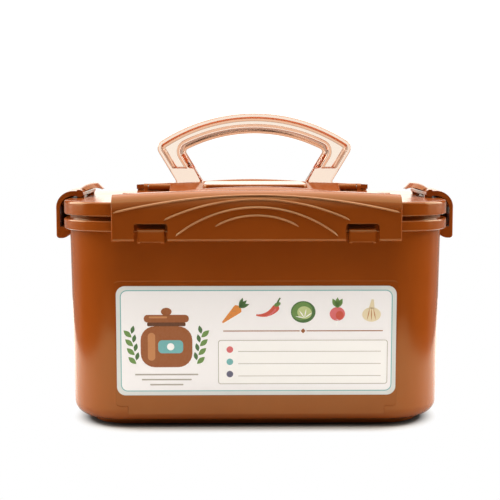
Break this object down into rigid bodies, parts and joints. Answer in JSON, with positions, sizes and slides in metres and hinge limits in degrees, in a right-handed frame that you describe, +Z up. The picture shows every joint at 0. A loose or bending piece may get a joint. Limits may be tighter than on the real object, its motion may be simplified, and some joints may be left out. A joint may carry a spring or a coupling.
{
  "type": "fermentation container",
  "caption": "Rounded-rectangular brown plastic tub with a sealed clip-on outer lid, an inner pressing lid and a clear folding carry handle, for fermenting and storing food.",
  "frame": {"origin": "middle of the tub's underside, on the surface it stands on", "axes": "+X along the width, to the right as seen from the front; -Y to the front with the label; +Z up"},
  "size_m": [0.2532, 0.1818, 0.1915],
  "materials": {
    "brown_plastic": "smooth moulded polypropylene, satin to glossy",
    "clear_plastic": "clear moulded plastic with a faint warm tint",
    "label_paper": null,
    "silicone": "translucent white silicone",
    "steel": "drawn stainless wire"
  },
  "bodies": {
    "tub": {"tub": "brown_plastic", "label": "label_paper"},
    "outer_lid": {"outer_lid": "brown_plastic", "lid_gasket": "silicone", "long_latch_pins": "steel", "short_latch_pins": "steel", "handle_pins": "steel"},
    "front_latch": {"front_latch": "brown_plastic"},
    "rear_latch": {"rear_latch": "brown_plastic"},
    "left_latch": {"left_latch": "brown_plastic"},
    "right_latch": {"right_latch": "brown_plastic"},
    "carry_handle": {"carry_handle": "clear_plastic"},
    "inner_lid": {"inner_lid": "brown_plastic", "inner_lid_seal": "silicone"},
    "inner_lid_pull": {"inner_lid_pull": "brown_plastic"},
    "vent_plug": {"vent_plug": "silicone"}
  },
  "joints": [
    {"name": "lid_lift", "type": "slide", "parent": "tub", "child": "outer_lid", "axis": [0, 0, 1], "range_m": [0, 0.2]},
    {"name": "front_latch_hinge", "type": "hinge", "parent": "outer_lid", "child": "front_latch", "pos_m": [0, -0.0755, 0.1399], "axis": [-1, 0, 0], "range_deg": [0, 16]},
    {"name": "rear_latch_hinge", "type": "hinge", "parent": "outer_lid", "child": "rear_latch", "pos_m": [0, 0.0755, 0.1399], "axis": [1, 0, 0], "range_deg": [0, 16]},
    {"name": "left_latch_hinge", "type": "hinge", "parent": "outer_lid", "child": "left_latch", "pos_m": [-0.1115, 0, 0.1399], "axis": [0, 1, 0], "range_deg": [0, 16]},
    {"name": "right_latch_hinge", "type": "hinge", "parent": "outer_lid", "child": "right_latch", "pos_m": [0.1115, 0, 0.1399], "axis": [0, -1, 0], "range_deg": [0, 16]},
    {"name": "handle_fold", "type": "hinge", "parent": "outer_lid", "child": "carry_handle", "pos_m": [0, 0, 0.143], "axis": [-1, 0, 0], "range_deg": [0, 90]},
    {"name": "inner_lid_press", "type": "slide", "parent": "tub", "child": "inner_lid", "axis": [0, 0, -1], "range_m": [0, 0.042]},
    {"name": "inner_pull_fold", "type": "hinge", "parent": "inner_lid", "child": "inner_lid_pull", "pos_m": [0, 0.014, 0.0967], "axis": [-1, 0, 0], "range_deg": [0, 90]},
    {"name": "vent_plug_pull", "type": "slide", "parent": "inner_lid", "child": "vent_plug", "axis": [0, 0, 1], "range_m": [0, 0.008]}
  ]
}
